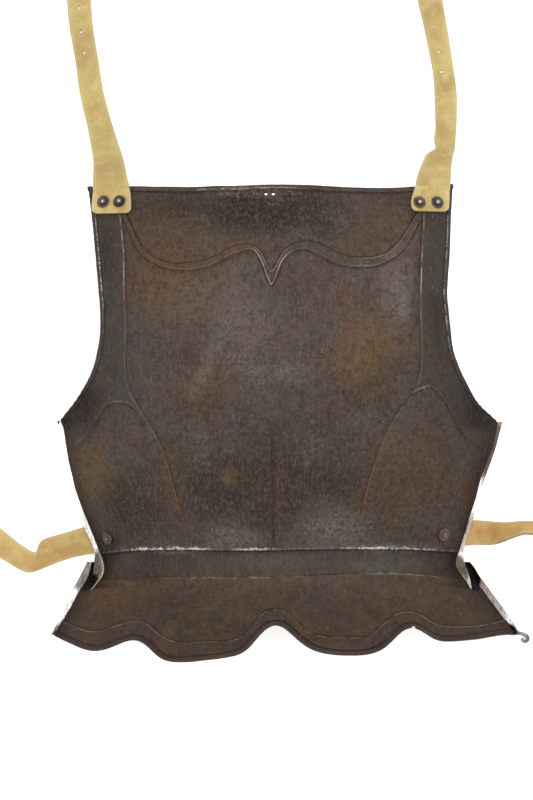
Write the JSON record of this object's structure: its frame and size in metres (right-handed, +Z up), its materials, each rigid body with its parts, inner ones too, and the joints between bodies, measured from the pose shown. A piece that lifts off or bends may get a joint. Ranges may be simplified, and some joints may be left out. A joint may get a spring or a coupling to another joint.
{
  "type": "cuirass backplate",
  "caption": "Steel backplate of a cuirass, lying face up, with a raised scalloped ridge, a recessed waist band, a flared scalloped skirt, and riveted buff leather shoulder and waist straps.",
  "frame": {"origin": "middle of the whole object's footprint, straps included, on the surface that it lies on", "axes": "+Z up, out of the wearer's back; +Y from the skirt to the neck; -X towards the wearer's left side"},
  "size_m": [0.524, 0.6008, 0.1263],
  "materials": {
    "plate_steel": "dark aged patina with rust-brown patches, fine scratches and bright worn edges",
    "strap_leather": "matt buff leather with brown stains and darker cut edges",
    "fastening_iron": "browned iron with brighter worn domes"
  },
  "bodies": {
    "root": {"back_plate": "plate_steel", "shoulder_strap_left": "strap_leather", "shoulder_strap_right": "strap_leather", "waist_strap_left": "strap_leather", "waist_strap_right": "strap_leather", "shoulder_washer_left_1": "fastening_iron", "shoulder_washer_left_2": "fastening_iron", "shoulder_washer_right_1": "fastening_iron", "shoulder_washer_right_2": "fastening_iron", "shoulder_rivet_left_1": "fastening_iron", "shoulder_rivet_left_2": "fastening_iron", "shoulder_rivet_right_1": "fastening_iron", "shoulder_rivet_right_2": "fastening_iron", "waist_rivet_left": "fastening_iron", "waist_rivet_right": "fastening_iron"}
  },
  "joints": []
}
